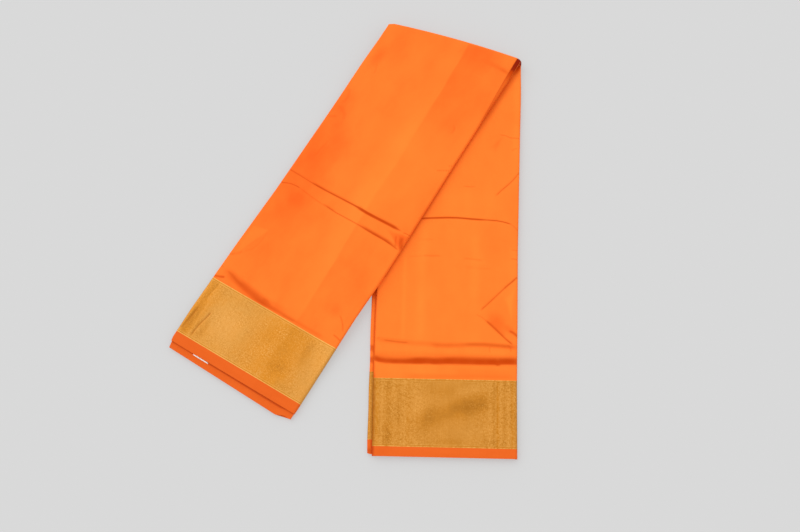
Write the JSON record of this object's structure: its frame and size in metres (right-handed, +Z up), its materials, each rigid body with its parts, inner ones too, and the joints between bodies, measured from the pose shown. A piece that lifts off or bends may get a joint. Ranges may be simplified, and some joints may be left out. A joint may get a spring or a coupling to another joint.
{
  "type": "folded saree",
  "caption": "Plain soft-silk saree with wide gold borders, pressed into a long strip and laid flat with one slanting cross fold.",
  "frame": {"origin": "centre of the folded saree's plan box, on the surface it lies on", "axes": "+Z up from the surface; +Y from the lower leg's gold end towards the slanting fold; +X towards the lower leg's right edge"},
  "size_m": [0.487, 0.6302, 0.019],
  "materials": {
    "silk": "soft plain-weave silk with a low sheen",
    "zari": "gold thread weave with a satin metallic sheen",
    "selvedge": "dense silk edge, nearly matt",
    "tack": "white cotton thread"
  },
  "bodies": {
    "root": {"upper_field": "silk", "upper_border": "zari", "upper_selvedge": "selvedge", "lower_field": "silk", "lower_border": "zari", "lower_selvedge": "selvedge", "hidden_layers": "silk", "tack_stitch": "tack"}
  },
  "joints": []
}
